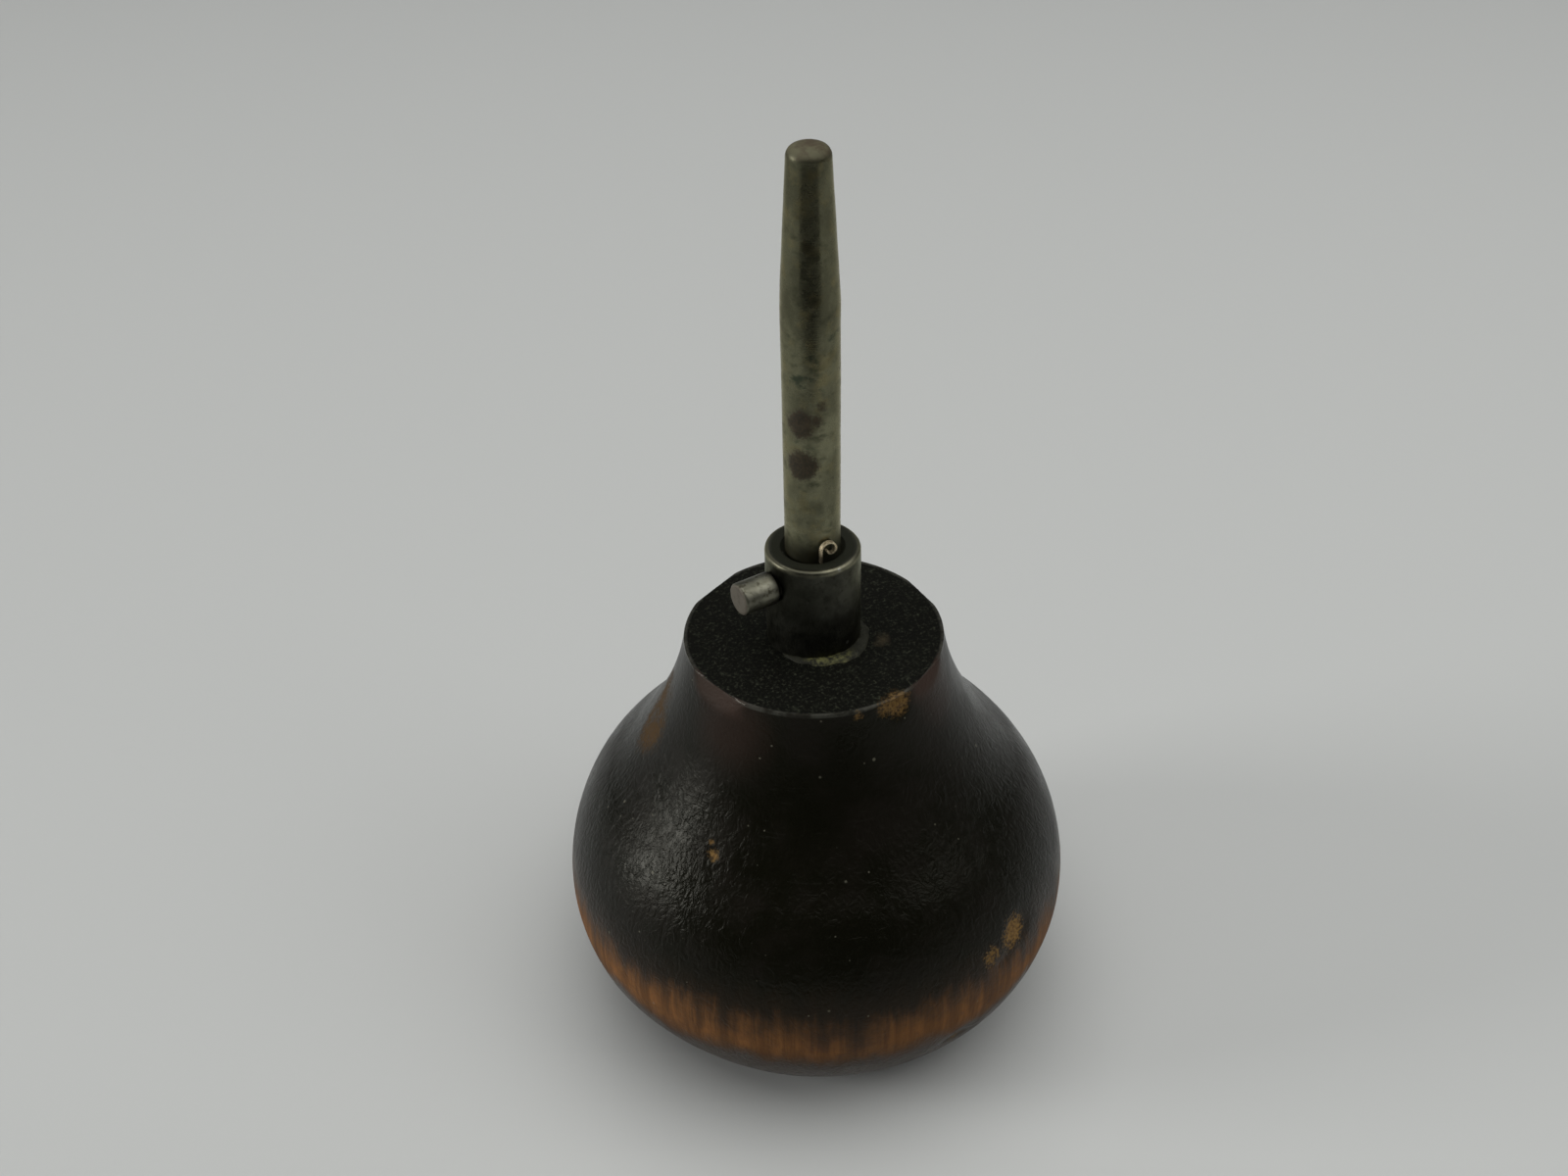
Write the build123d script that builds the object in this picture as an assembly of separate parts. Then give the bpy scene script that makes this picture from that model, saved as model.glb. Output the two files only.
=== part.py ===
from build123d import *
import os
from math import cos, radians, sin, sqrt

# A palm-handled push tool: a turned wooden handle with a steel socket set in its flat top,
# a loose rod standing in the socket, and a set screw that clamps the rod from one side.
# Millimetres. The base of the handle is at z = 0 and the rod stands along +Z.

# Handle, a pear-shaped solid of revolution. Three arcs meet without a corner:
# a full underside, a rounded shoulder and a hollow neck.
handle_height = 41.0
belly_radius = 23.75
belly_height = 14.0
underside_arc = 14.5
shoulder_arc = 17.0
neck_arc = 30.0
neck_start_angle = 43.0
handle_edge_round = 0.2

# Socket, turned from one bar: a collar that stands on the handle, and a spigot glued into it.
collar_radius = 4.15
collar_height = 9.3
collar_edge = 0.35
spigot_radius = 3.3
spigot_length = 10.0
spigot_chamfer = 0.6
spigot_end_gap = 0.5
bore_radius = 2.42
bore_depth = 16.0
mouth_chamfer = 0.4

# Rod, straight stock with its upper end turned to a taper.
rod_radius = 2.4
rod_top = 44.9
taper_start = 32.4
tip_radius = 1.75
tip_round = 0.5
rod_foot_chamfer = 0.3

# Set screw, a plain round head on a short threaded shank. It points along -X.
screw_below_rim = 2.7
head_radius = 1.45
head_length = 3.35
head_stand_off = 0.1
head_round = 0.3
thread_crest = 1.2
thread_root = 0.96
thread_pitch = 0.45
thread_count = 3
thread_hole_radius = 1.24
point_gap = 0.03

# Hardened glue pressed out under one side of the collar, as a crescent.
glue_radius = 4.2
glue_offset = 1.0
glue_direction = -79.5  # degrees from +X
glue_height = 0.35
glue_round = 0.25

# A curl of thin metal that stands on the collar against the rod, near its -Y side.
curl_radius = 0.7
curl_inner_radius = 0.42
curl_leg = 1.2
curl_thickness = 0.16
curl_width = 0.35
curl_clearance = 0.1
curl_direction = -4.5  # degrees about +Z, from the -Y side

rim_height = handle_height + collar_height
bore_bottom = rim_height - bore_depth
screw_height = rim_height - screw_below_rim


def turned(outline):
    """Solid of revolution about Z from a closed outline drawn as radius and height."""
    return revolve(Plane.XZ * make_face(outline), axis=Axis.Z)


def handle():
    under_x = belly_radius - underside_arc
    base_radius = under_x + sqrt(underside_arc**2 - belly_height**2)
    shoulder_x = belly_radius - shoulder_arc
    reach = shoulder_arc + neck_arc
    neck_x = shoulder_x + reach * cos(radians(neck_start_angle))
    neck_z = belly_height + reach * sin(radians(neck_start_angle))
    top_radius = neck_x - sqrt(neck_arc**2 - (handle_height - neck_z) ** 2)
    base = (base_radius, 0)
    belly = (belly_radius, belly_height)
    neck_start = (
        shoulder_x + shoulder_arc * cos(radians(neck_start_angle)),
        belly_height + shoulder_arc * sin(radians(neck_start_angle)),
    )
    top = (top_radius, handle_height)
    body = turned([
        Line((0, 0), base),
        RadiusArc(base, belly, -underside_arc),
        RadiusArc(belly, neck_start, -shoulder_arc),
        RadiusArc(neck_start, top, neck_arc),
        Line(top, (0, handle_height)),
        Line((0, handle_height), (0, 0)),
    ])
    top_edge = body.edges().filter_by(GeomType.CIRCLE).sort_by(Axis.Z)[-1]
    body = fillet(top_edge, handle_edge_round)
    hole_depth = spigot_length + spigot_end_gap
    hole = Pos(0, 0, handle_height - hole_depth / 2) * Cylinder(spigot_radius, hole_depth)
    return body - hole


def socket_collar():
    spigot_bottom = handle_height - spigot_length
    mouth_radius = bore_radius + mouth_chamfer
    body = turned(Polyline(
        (0, spigot_bottom),
        (spigot_radius - spigot_chamfer, spigot_bottom),
        (spigot_radius, spigot_bottom + spigot_chamfer),
        (spigot_radius, handle_height),
        (collar_radius, handle_height),
        (collar_radius, rim_height - collar_edge),
        (collar_radius - collar_edge, rim_height),
        (mouth_radius, rim_height),
        (bore_radius, rim_height - mouth_chamfer),
        (bore_radius, bore_bottom),
        (0, bore_bottom),
        close=True,
    ))
    reach = collar_radius + 1.0
    cross_hole = Pos(-reach / 2, 0, screw_height) * Rot(0, 90, 0) * Cylinder(thread_hole_radius, reach)
    return body - cross_hole


def tool_rod():
    top = handle_height + rod_top
    body = turned(Polyline(
        (0, bore_bottom),
        (rod_radius - rod_foot_chamfer, bore_bottom),
        (rod_radius, bore_bottom + rod_foot_chamfer),
        (rod_radius, handle_height + taper_start),
        (tip_radius, top),
        (0, top),
        close=True,
    ))
    tip_edge = body.edges().filter_by(GeomType.CIRCLE).sort_by(Axis.Z)[-1]
    return fillet(tip_edge, tip_round)


def set_screw():
    # Drawn standing up from its point at z = 0, then laid down along -X.
    point_reach = rod_radius + point_gap
    shank = collar_radius + head_stand_off - point_reach
    outline = [(0, 0), (thread_root, 0)]
    first_thread = (shank - thread_count * thread_pitch) / 2
    for turn in range(thread_count):
        start = first_thread + turn * thread_pitch
        outline += [(thread_root, start), (thread_crest, start + thread_pitch / 2)]
    outline += [
        (thread_root, first_thread + thread_count * thread_pitch),
        (thread_root, shank),
        (head_radius, shank),
        (head_radius, shank + head_length),
        (0, shank + head_length),
    ]
    body = turned(Polyline(*outline, close=True))
    end_edge = body.edges().filter_by(GeomType.CIRCLE).sort_by(Axis.Z)[-1]
    return Pos(-point_reach, 0, screw_height) * Rot(0, -90, 0) * fillet(end_edge, head_round)


def glue_bead():
    towards = radians(glue_direction)
    centre = Pos(glue_offset * cos(towards), glue_offset * sin(towards), handle_height + glue_height / 2)
    pool = Cylinder(glue_radius, glue_height)
    pool = fillet(pool.edges().filter_by(GeomType.CIRCLE).sort_by(Axis.Z)[-1], glue_round)
    collar = Pos(0, 0, handle_height) * Cylinder(collar_radius, 4 * glue_height)
    return centre * pool - collar


def half_ring(radius, upper):
    ring = Circle(radius + curl_thickness / 2) - Circle(radius - curl_thickness / 2)
    side = 1 if upper else -1
    return ring & Pos(0, side * radius) * Rectangle(4 * radius, 2 * radius)


def metal_curl():
    leg = Pos(-curl_radius, curl_leg / 2) * Rectangle(curl_thickness, curl_leg)
    bow = Pos(0, curl_leg) * half_ring(curl_radius, upper=True)
    end = Pos(curl_radius - curl_inner_radius, curl_leg) * half_ring(curl_inner_radius, upper=False)
    strip = extrude(leg + bow + end, curl_width)
    stood = Pos(0, -rod_radius - curl_clearance, rim_height) * Rot(90, 0, 0) * strip
    return Rot(0, 0, curl_direction) * stood


pieces = {
    "handle": handle(),
    "socket_collar": socket_collar(),
    "tool_rod": tool_rod(),
    "set_screw": set_screw(),
    "glue_bead": glue_bead(),
    "metal_curl": metal_curl(),
}

os.makedirs("parts", exist_ok=True)
for name, piece in pieces.items():
    export_step(piece, f"parts/{name}.step")
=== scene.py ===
from math import asin, cos, exp, hypot, pi, radians, sin, sqrt

import bmesh
import bpy
from bpy.props import FloatProperty, FloatVectorProperty, PointerProperty
from bpy.types import Operator, Panel, PropertyGroup
from mathutils import Matrix, Vector, noise


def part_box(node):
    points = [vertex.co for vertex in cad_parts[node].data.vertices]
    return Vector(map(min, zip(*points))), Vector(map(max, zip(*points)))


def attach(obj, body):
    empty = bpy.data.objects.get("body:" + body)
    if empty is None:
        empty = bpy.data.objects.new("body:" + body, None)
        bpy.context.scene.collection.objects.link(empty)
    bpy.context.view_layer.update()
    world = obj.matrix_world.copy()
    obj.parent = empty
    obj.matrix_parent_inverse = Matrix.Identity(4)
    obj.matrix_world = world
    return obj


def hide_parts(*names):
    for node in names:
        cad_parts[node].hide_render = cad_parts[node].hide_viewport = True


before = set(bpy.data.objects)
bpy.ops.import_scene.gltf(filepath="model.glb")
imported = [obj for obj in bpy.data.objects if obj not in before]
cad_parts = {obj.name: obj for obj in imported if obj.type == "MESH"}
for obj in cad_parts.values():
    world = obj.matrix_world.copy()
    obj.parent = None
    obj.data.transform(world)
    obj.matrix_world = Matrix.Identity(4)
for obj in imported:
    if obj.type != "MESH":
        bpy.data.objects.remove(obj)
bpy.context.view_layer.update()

bl_info = {
    "name": "Palm push tool",
    "version": (1, 0, 0),
    "blender": (4, 5, 0),
    "location": "View3D > Sidebar > Push Tool",
    "description": "Builds a worn wooden palm handle with a clamped steel push rod",
    "category": "Add Mesh",
}

MM = 0.001
UP = Vector((0, 0, 1))

# Places and sizes that the frame settles, in metres.
HANDLE_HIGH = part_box("handle")[1]
COLLAR_LOW, COLLAR_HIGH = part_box("socket_collar")
ROD_LOW, ROD_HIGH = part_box("tool_rod")
SCREW_LOW, SCREW_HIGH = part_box("set_screw")
FLAT_TOP = HANDLE_HIGH.z
RIM = COLLAR_HIGH.z
COLLAR_RADIUS = COLLAR_HIGH.x
ROD_RADIUS = ROD_HIGH.x
SCREW_HEIGHT = (SCREW_LOW.z + SCREW_HIGH.z) / 2

# The collar's foot, and the hole in the handle that takes it.
SPIGOT_RADIUS = 3.3 * MM
SPIGOT_HOLE_DEPTH = 10.5 * MM

# The side that faces the viewer in the main view, in degrees from +X about Z.
FRONT = -122.0

# The camera: its lens, its lean, and how far it looks above the flat top and left of the middle.
LENS = 38.25
SENSOR = 36.0
CAMERA_ROLL = radians(-1.35)
AIM_ABOVE_FLAT = 4.82 * MM
AIM_LEFT = 2.54 * MM

FLOOR_RADIUS = 1.45
CARD_HALF_WIDTH, CARD_HALF_DEPTH = 200 * MM, 110 * MM
CARD_IN_FRONT = 232 * MM


def around(turn, radius, height):
    """A point at a turn from the front, to the right as seen from the front, in degrees."""
    angle = radians(FRONT + turn)
    return Vector((radius * cos(angle), radius * sin(angle), height))


# ---------------------------------------------------------------------------
# Settings
# ---------------------------------------------------------------------------


class HandleSettings(PropertyGroup):
    belly_radius: FloatProperty(
        name="Belly Radius",
        description="Radius of the widest ring of the handle",
        default=HANDLE_HIGH.x,
        unit="LENGTH",
    )
    belly_height: FloatProperty(
        name="Belly Height",
        description="Height of the widest ring above the base",
        default=14.0 * MM,
        unit="LENGTH",
    )
    underside_arc: FloatProperty(
        name="Underside Arc",
        description="Radius of the profile below the widest ring",
        default=14.5 * MM,
        unit="LENGTH",
    )
    shoulder_arc: FloatProperty(
        name="Shoulder Arc",
        description="Radius of the profile above the widest ring",
        default=17.0 * MM,
        unit="LENGTH",
    )
    neck_arc: FloatProperty(
        name="Neck Arc",
        description="Radius of the hollow part of the profile under the flat top",
        default=30.0 * MM,
        unit="LENGTH",
    )
    neck_start: FloatProperty(
        name="Neck Start",
        description="Turn of the shoulder at which the hollow neck begins",
        default=radians(43.0),
        subtype="ANGLE",
    )
    lacquer: FloatVectorProperty(
        name="Lacquer",
        description="Colour of the dark finish",
        default=(0.0046, 0.0044, 0.0022),
        subtype="COLOR",
    )
    bare_wood: FloatVectorProperty(
        name="Bare Wood",
        description="Colour of the wood where the finish is rubbed off",
        default=(0.235, 0.100, 0.030),
        subtype="COLOR",
    )


class SteelSettings(PropertyGroup):
    rod: FloatVectorProperty(
        name="Rod",
        description="Colour of the clean steel of the rod",
        default=(0.190, 0.186, 0.118),
        subtype="COLOR",
    )
    collar: FloatVectorProperty(
        name="Collar",
        description="Colour of the dark steel of the collar",
        default=(0.040, 0.040, 0.032),
        subtype="COLOR",
    )
    screw: FloatVectorProperty(
        name="Screw",
        description="Colour of the steel of the set screw",
        default=(0.24, 0.235, 0.180),
        subtype="COLOR",
    )
    rust: FloatVectorProperty(
        name="Rust",
        description="Colour of the rust patches on the rod",
        default=(0.032, 0.018, 0.009),
        subtype="COLOR",
    )


class StageSettings(PropertyGroup):
    floor: FloatVectorProperty(
        name="Floor",
        description="Colour of the floor",
        default=(0.62, 0.63, 0.61),
        subtype="COLOR",
    )
    card: FloatVectorProperty(
        name="Shade Card",
        description="Colour of the card that keeps reflections dark in front",
        default=(0.02, 0.02, 0.02),
        subtype="COLOR",
    )
    ceiling: FloatProperty(
        name="Ceiling Light",
        description="Power of the broad light overhead",
        default=4.4,
        unit="POWER",
    )
    window: FloatProperty(
        name="Window Light",
        description="Power of the low light on the left",
        default=10.2,
        unit="POWER",
    )
    side: FloatProperty(
        name="Side Light",
        description="Power of the soft light on the right",
        default=1.10,
        unit="POWER",
    )
    room: FloatProperty(
        name="Room",
        description="Brightness of the room round the sides and back",
        default=0.12,
    )
    room_front: FloatProperty(
        name="Room in Front",
        description="Brightness of the room behind the viewer",
        default=0.03,
    )
    pitch: FloatProperty(
        name="Camera Pitch",
        description="How far the camera looks down",
        default=radians(36.3),
        subtype="ANGLE",
    )
    distance: FloatProperty(
        name="Camera Distance",
        description="Distance from the camera to the point it looks at",
        default=145.15 * MM,
        unit="LENGTH",
    )


# ---------------------------------------------------------------------------
# Mesh helpers
# ---------------------------------------------------------------------------


class Outline:
    """A chain of edges in the XZ plane, drawn from point to point and ready to be turned about Z."""

    def __init__(self, radius, height):
        self.bm = bmesh.new()
        self.end = self.bm.verts.new((radius, 0, height))

    def line(self, radius, height, steps=1):
        """Runs straight on to a radius and height."""
        start, target = self.end.co.copy(), Vector((radius, 0, height))
        for step in range(steps):
            vert = self.bm.verts.new(start.lerp(target, (step + 1) / steps))
            self.bm.edges.new((self.end, vert))
            self.end = vert

    def arc(self, centre_radius, centre_height, turn, steps):
        """Runs on round a centre, through a turn in radians, anticlockwise with X right and Z up."""
        run = bmesh.ops.spin(
            self.bm,
            geom=[self.end],
            cent=(centre_radius, 0, centre_height),
            axis=(0, -1, 0),
            angle=turn,
            steps=steps,
        )
        self.end = run["geom_last"][0]

    def turned(self, steps):
        """The closed solid that the outline sweeps in a full turn about Z."""
        bmesh.ops.spin(
            self.bm,
            geom=self.bm.verts[:] + self.bm.edges[:],
            cent=(0, 0, 0),
            axis=UP,
            angle=2 * pi,
            steps=steps,
            use_merge=True,
        )
        bmesh.ops.remove_doubles(self.bm, verts=self.bm.verts, dist=0.001 * MM)
        bmesh.ops.recalc_face_normals(self.bm, faces=self.bm.faces)
        return self.bm


def new_piece(name, bm, sharp_angle=35.0):
    """Turns a bmesh into an object, smooth except where faces meet at more than an angle in degrees."""
    mesh = bpy.data.meshes.new(name)
    bm.to_mesh(mesh)
    bm.free()
    mesh.shade_smooth()
    mesh.set_sharp_from_angle(angle=radians(sharp_angle))
    piece = bpy.data.objects.new(name, mesh)
    bpy.context.scene.collection.objects.link(piece)
    return piece


def cylinder(radius, length, segments, end_radius=None):
    """A closed cylinder along Z about the origin, or a cone with a second radius at its top."""
    bm = bmesh.new()
    bmesh.ops.create_cone(
        bm,
        cap_ends=True,
        segments=segments,
        radius1=radius,
        radius2=radius if end_radius is None else end_radius,
        depth=length,
    )
    return bm


def carve(piece, bm):
    """Cuts the solid of a bmesh out of a piece."""
    cutter = new_piece("cutter", bm)
    modifier = piece.modifiers.new("carve", "BOOLEAN")
    modifier.object = cutter
    modifier.operation = "DIFFERENCE"
    modifier.solver = "EXACT"
    depsgraph = bpy.context.evaluated_depsgraph_get()
    carved = bpy.data.meshes.new_from_object(piece.evaluated_get(depsgraph))
    piece.modifiers.clear()
    piece.data = carved
    bpy.data.objects.remove(cutter)


def install(piece, node, body, material):
    """Lets a piece stand for a CAD node, on that node's body and in its material slot."""
    piece.data.materials.clear()
    piece.data.materials.append(material)
    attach(piece, body)
    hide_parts(node)


def file_flat(bm, direction, through, roughness=0.0, above=0.0, soft=0.001 * MM):
    """Presses back what stands beyond a plane and above a height, with a soft edge to the flat."""
    normal = direction.normalized()
    limit = normal.dot(through)
    for vert in bm.verts:
        beyond = normal.dot(vert.co) - limit
        if beyond > 0 and vert.co.z > above:
            grain = abs(roughness * noise.noise(vert.co / (0.5 * MM)))
            kept = grain + soft * (1 - exp(-beyond / soft))
            vert.co -= normal * max(beyond - kept, 0)


def dent(bm, centre, reach, depth, roughness):
    """Sinks the surface about a point, deepest in the middle and torn by an amount from 0 to 1."""
    for vert in bm.verts:
        near = 1 - (vert.co - centre).length / reach
        if near > 0:
            torn = 1 + roughness * noise.noise(vert.co / (0.9 * MM))
            vert.co -= vert.normal * depth * torn * near * near * (3 - 2 * near)


# ---------------------------------------------------------------------------
# Material helpers
# ---------------------------------------------------------------------------


class Finish:
    """A material built node by node. Its patterns read the piece's own place, in millimetres."""

    def __init__(self, name):
        self.material = bpy.data.materials.new(name)
        self.material.use_nodes = True
        self.tree = self.material.node_tree
        self.tree.nodes.clear()
        self.shader = self.node("ShaderNodeBsdfPrincipled")
        output = self.node("ShaderNodeOutputMaterial")
        self.tree.links.new(self.shader.outputs[0], output.inputs[0])
        place = self.node("ShaderNodeTexCoord").outputs["Object"]
        self.place = self.vector("MULTIPLY", place, (1 / MM,) * 3)
        split = self.node("ShaderNodeSeparateXYZ", {0: self.place})
        self.x, self.y, self.z = split.outputs
        self.radius = self.math("SQRT", self.add(self.times(self.x, self.x), self.times(self.y, self.y)))

    def node(self, kind, inputs=None, **settings):
        made = self.tree.nodes.new(kind)
        for key, value in settings.items():
            setattr(made, key, value)
        for key, value in (inputs or {}).items():
            self.feed(made.inputs[key], value)
        return made

    def feed(self, socket, value):
        """Links an output to a socket, or sets the socket's own value."""
        if isinstance(value, bpy.types.NodeSocket):
            self.tree.links.new(value, socket)
        elif socket.type == "RGBA" and not isinstance(value, float):
            socket.default_value = (*value[:3], 1.0)
        else:
            socket.default_value = value

    def set(self, **inputs):
        """Feeds the shader's sockets, named with underscores for spaces."""
        for key, value in inputs.items():
            self.feed(self.shader.inputs[key.replace("_", " ")], value)

    def math(self, operation, a, b=0.0, clamp=False):
        return self.node("ShaderNodeMath", {0: a, 1: b}, operation=operation, use_clamp=clamp).outputs[0]

    def add(self, a, b):
        return self.math("ADD", a, b)

    def less(self, a, b):
        return self.math("SUBTRACT", a, b)

    def times(self, a, b):
        return self.math("MULTIPLY", a, b)

    def most(self, a, b):
        return self.math("MAXIMUM", a, b)

    def inverse(self, a):
        return self.math("SUBTRACT", 1.0, a, clamp=True)

    def vector(self, operation, a, b):
        return self.node("ShaderNodeVectorMath", {0: a, 1: b}, operation=operation).outputs[0]

    def distance(self, point):
        """Distance in millimetres from a point given in metres."""
        inputs = {0: self.place, 1: Vector(point) / MM}
        return self.node("ShaderNodeVectorMath", inputs, operation="DISTANCE").outputs["Value"]

    def ramp(self, value, low, high, to_low=0.0, to_high=1.0):
        """Eases from one value to another as the input goes from low to high, and stays there beyond."""
        inputs = {"Value": value, "From Min": low, "From Max": high, "To Min": to_low, "To Max": to_high}
        return self.node("ShaderNodeMapRange", inputs, interpolation_type="SMOOTHSTEP").outputs[0]

    def band(self, value, low, high, soft):
        """1 between two limits, easing to 0 within a soft edge on either side."""
        rise = self.ramp(value, low - soft, low + soft)
        fall = self.ramp(value, high - soft, high + soft, 1.0, 0.0)
        return self.times(rise, fall)

    def noise(self, size, detail=4.0, roughness=0.55, distortion=0.0, stretch=(1, 1, 1), shift=0.0):
        """Noise from 0 to 1 with features of a size in millimetres, longer along an axis with a stretch."""
        scale = [1 / (size * along) for along in stretch]
        place = self.vector("MULTIPLY", self.place, scale)
        if shift:
            place = self.vector("ADD", place, (shift,) * 3)
        inputs = {"Vector": place, "Scale": 1.0, "Detail": detail}
        inputs.update({"Roughness": roughness, "Distortion": distortion})
        return self.node("ShaderNodeTexNoise", inputs).outputs["Fac"]

    def specks(self, size, amount, shift=0.0):
        """Small round dots, one in every so many cells of a size in millimetres."""
        place = self.vector("ADD", self.vector("MULTIPLY", self.place, (1 / size,) * 3), (shift,) * 3)
        cells = self.node("ShaderNodeTexVoronoi", {"Vector": place, "Scale": 1.0}, feature="F1")
        dot = self.ramp(cells.outputs["Distance"], 0.12, 0.26, 1.0, 0.0)
        chosen = self.node("ShaderNodeSeparateColor", {0: cells.outputs["Color"]}).outputs[0]
        return self.times(dot, self.ramp(chosen, 1 - amount, 1 - 0.8 * amount))

    def mix(self, factor, a, b):
        """Blends one colour into another."""
        made = self.node("ShaderNodeMix", data_type="RGBA")
        self.feed(made.inputs["Factor"], factor)
        self.feed(made.inputs[6], a)
        self.feed(made.inputs[7], b)
        return made.outputs[2]

    def between(self, factor, a, b):
        """Blends one number into another."""
        return self.node("ShaderNodeMix", {0: factor, 2: a, 3: b}, data_type="FLOAT").outputs[0]

    def bump(self, height, depth, normal=None):
        """A bump whose full height is a depth in millimetres."""
        inputs = {"Height": height, "Distance": depth * MM, "Strength": 1.0}
        if normal is not None:
            inputs["Normal"] = normal
        return self.node("ShaderNodeBump", inputs).outputs[0]

    def spot(self, point, radius, soft, grain, spread):
        """A ragged patch about a point, its edge pushed in and out by noise."""
        away = self.add(self.distance(point), self.times(self.less(grain, 0.5), spread))
        return self.ramp(away, radius - soft, radius + soft, 1.0, 0.0)


# ---------------------------------------------------------------------------
# Handle
# ---------------------------------------------------------------------------


def handle_profile(sizes):
    """The handle's outline from the middle of its base round to the bottom of the socket's hole."""
    under_centre = sizes.belly_radius - sizes.underside_arc
    under_turn = asin(sizes.belly_height / sizes.underside_arc)
    base_radius = under_centre + sizes.underside_arc * cos(under_turn)
    shoulder_centre = sizes.belly_radius - sizes.shoulder_arc
    reach = sizes.shoulder_arc + sizes.neck_arc
    neck_radius = shoulder_centre + reach * cos(sizes.neck_start)
    neck_height = sizes.belly_height + reach * sin(sizes.neck_start)
    top_turn = asin((neck_height - FLAT_TOP) / sizes.neck_arc)
    top_radius = neck_radius - sizes.neck_arc * cos(top_turn)
    neck_turn = sizes.neck_start - top_turn
    fine_turn = 1.8 * MM / sizes.neck_arc
    spigot_hole = FLAT_TOP - SPIGOT_HOLE_DEPTH

    outline = Outline(0, 0)
    outline.line(base_radius, 0, 12)
    outline.arc(under_centre, sizes.belly_height, under_turn, 46)
    outline.arc(shoulder_centre, sizes.belly_height, sizes.neck_start, 32)
    outline.arc(neck_radius, neck_height, fine_turn - neck_turn, 36)
    outline.arc(neck_radius, neck_height, -fine_turn, 14)
    outline.line(top_radius - 1.6 * MM, FLAT_TOP, 14)
    outline.line(SPIGOT_RADIUS, FLAT_TOP, 14)
    outline.line(SPIGOT_RADIUS, spigot_hole, 6)
    outline.line(0, spigot_hole, 2)
    return outline, top_radius


def wear_handle(bm, top_radius):
    """Rounds, flattens and knocks the turned shape as years of use have."""

    def at_rim(vert):
        off_radius = abs(hypot(vert.co.x, vert.co.y) - top_radius)
        return abs(vert.co.z - FLAT_TOP) < 1e-7 and off_radius < 1e-6

    bmesh.ops.bevel(
        bm,
        geom=[edge for edge in bm.edges if all(at_rim(vert) for vert in edge.verts)],
        offset=0.20 * MM,
        segments=3,
        profile=0.5,
        affect="EDGES",
        material=-1,
        clamp_overlap=True,
    )
    bm.normal_update()
    outside = [v for v in bm.verts if v.co.z > 0.4 * MM and hypot(v.co.x, v.co.y) > 3.6 * MM]
    for vert in outside:
        lift = 0.10 * noise.noise(vert.co / (11 * MM)) + 0.022 * noise.noise(vert.co / (3.2 * MM))
        flat = 0.25 if vert.normal.z > 0.9 and vert.co.z > FLAT_TOP - 0.1 * MM else 1.0
        vert.co += vert.normal * lift * flat * MM
    # Rubbed flats along the edge of the top: turn from the front, radius left on the flat, tilt.
    for turn, radius, tilt in (
        (-48, 10.98, 25),
        (30, 11.25, 36),
        (57, 11.05, 26),
        (118, 11.25, 32),
        (-128, 11.1, 28),
    ):
        outward = around(turn, 1, 0)
        direction = outward * cos(radians(tilt)) + UP * sin(radians(tilt))
        corner = outward * radius * MM + UP * FLAT_TOP
        file_flat(bm, direction, corner, 0.03 * MM, FLAT_TOP - 6 * MM, 0.09 * MM)
    # Knocks and rubbed hollows: turn, radius, height, reach, depth and how torn the spot is.
    for turn, radius, height, reach, depth, torn in (
        (36, 11.6, 40.3, 1.9, 0.28, 0.8),
        (30, 11.6, 40.5, 1.2, 0.16, 0.8),
        (50, 23.3, 18.2, 2.6, 0.26, 0.9),
        (44, 23.4, 16.6, 1.6, 0.14, 0.9),
        (-32.5, 17.1, 28.2, 0.9, 0.12, 0.6),
        (33, 22.6, 8.4, 3.2, 0.42, 0.6),
        (-25, 20.6, 5.0, 14.0, 0.34, 0.0),
        (10, 19.6, 4.0, 12.0, 0.26, 0.0),
        (150, 21.0, 22.5, 2.2, 0.2, 0.9),
        (-152, 15.2, 31.5, 1.8, 0.2, 0.9),
    ):
        dent(bm, around(turn, radius * MM, height * MM), reach * MM, depth * MM, torn)


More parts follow.
